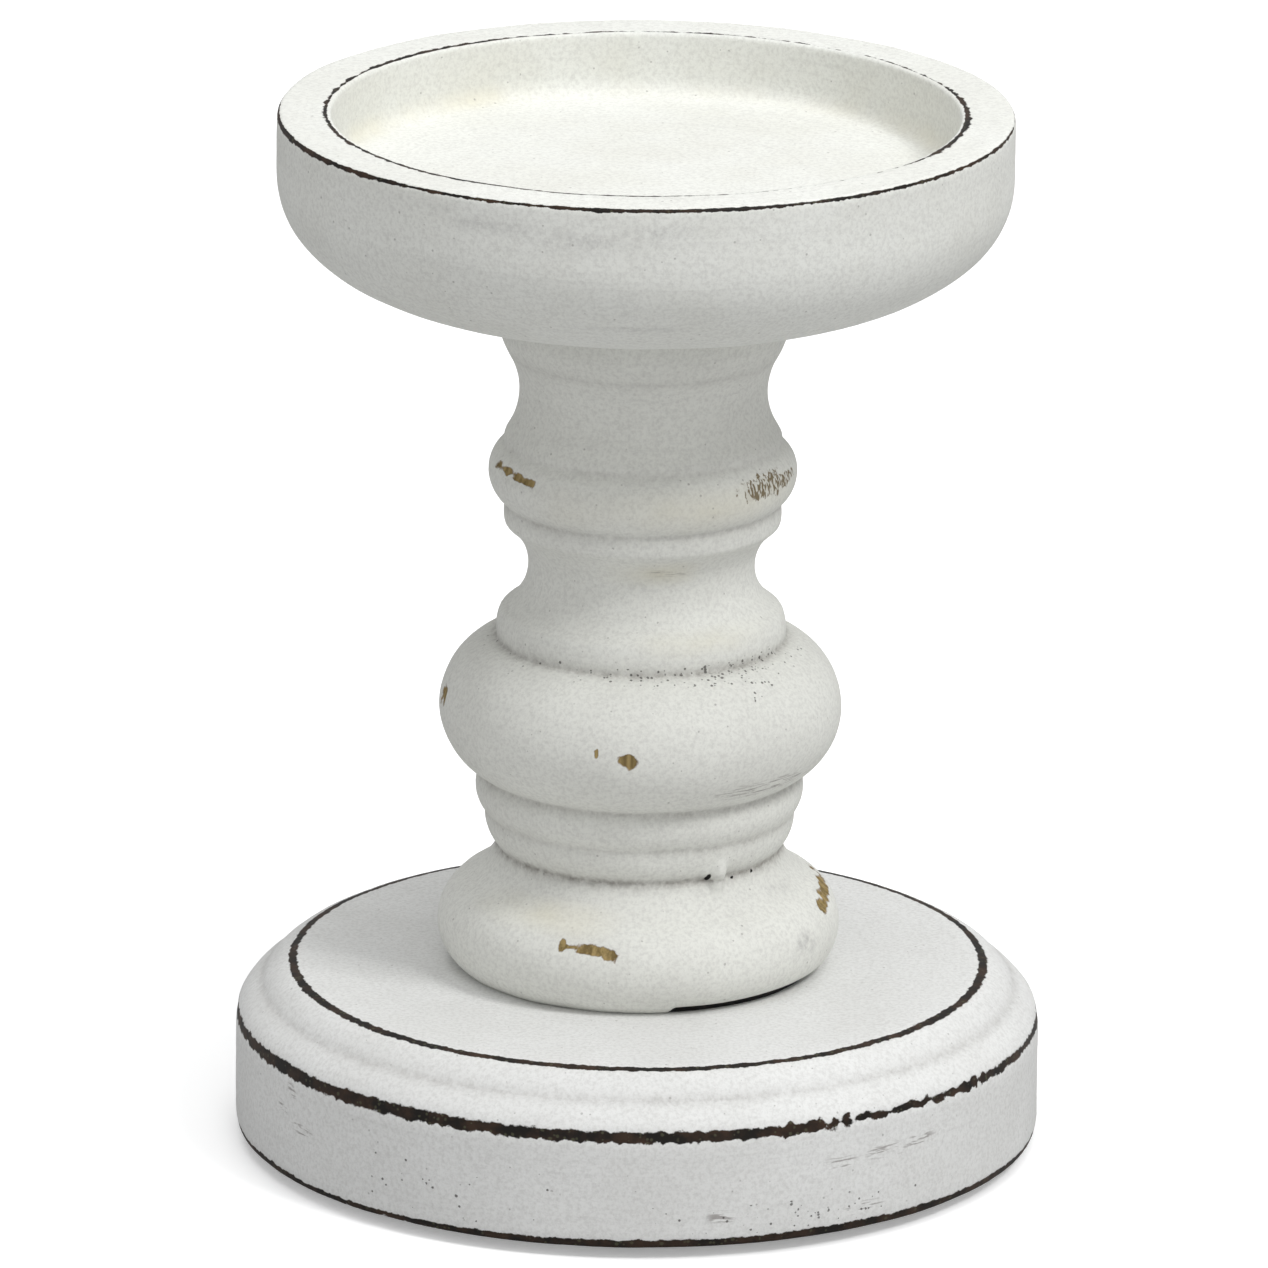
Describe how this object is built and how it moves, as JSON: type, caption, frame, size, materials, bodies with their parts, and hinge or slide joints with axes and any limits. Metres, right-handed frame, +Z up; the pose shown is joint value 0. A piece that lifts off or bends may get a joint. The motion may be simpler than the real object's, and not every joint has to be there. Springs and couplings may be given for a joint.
{
  "type": "wooden candlestick",
  "caption": "Turned wooden pillar candle holder: moulded round base, column of beads and coves, and a shallow cup with a round recess for the candle.",
  "frame": {"origin": "on the axis, on the surface the felt pads stand on", "axes": "+Z up along the axis of the turned pieces; the piece is round, so X and Y are free, and the felt pads lie on the diagonals"},
  "size_m": [0.1154, 0.1154, 0.1515],
  "materials": {
    "painted_wood": "matt white chalk paint over dark stained wood, rubbed through at the edges",
    "steel": "zinc plated",
    "felt": "dark wool felt"
  },
  "bodies": {
    "root": {"base_disc": "painted_wood", "column": "painted_wood", "candle_cup": "painted_wood", "base_screw": "steel", "base_washer": "steel", "cup_screw": "steel", "felt_pad_1": "felt", "felt_pad_2": "felt", "felt_pad_3": "felt", "felt_pad_4": "felt"}
  },
  "joints": []
}
